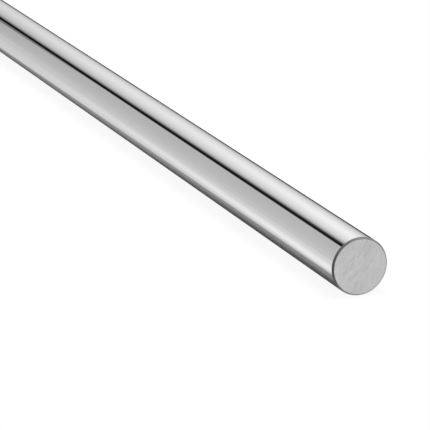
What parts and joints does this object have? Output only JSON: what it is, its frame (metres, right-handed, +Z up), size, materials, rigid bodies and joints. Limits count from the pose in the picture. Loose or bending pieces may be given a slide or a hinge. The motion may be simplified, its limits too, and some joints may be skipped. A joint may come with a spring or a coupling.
{
  "type": "round metal bar",
  "caption": "Solid round bar of polished steel, cut square to length, with the rims of both cut ends turned off.",
  "frame": {"origin": "on the floor under the middle of the bar's length, where the lying bar touches it", "axes": "+X along the bar, towards the cut end that the camera sees, +Z up, +Y across the bar"},
  "size_m": [0.3, 0.012, 0.012],
  "materials": {
    "polished_steel": "polished"
  },
  "bodies": {
    "root": {"round_bar": "polished_steel"}
  },
  "joints": []
}
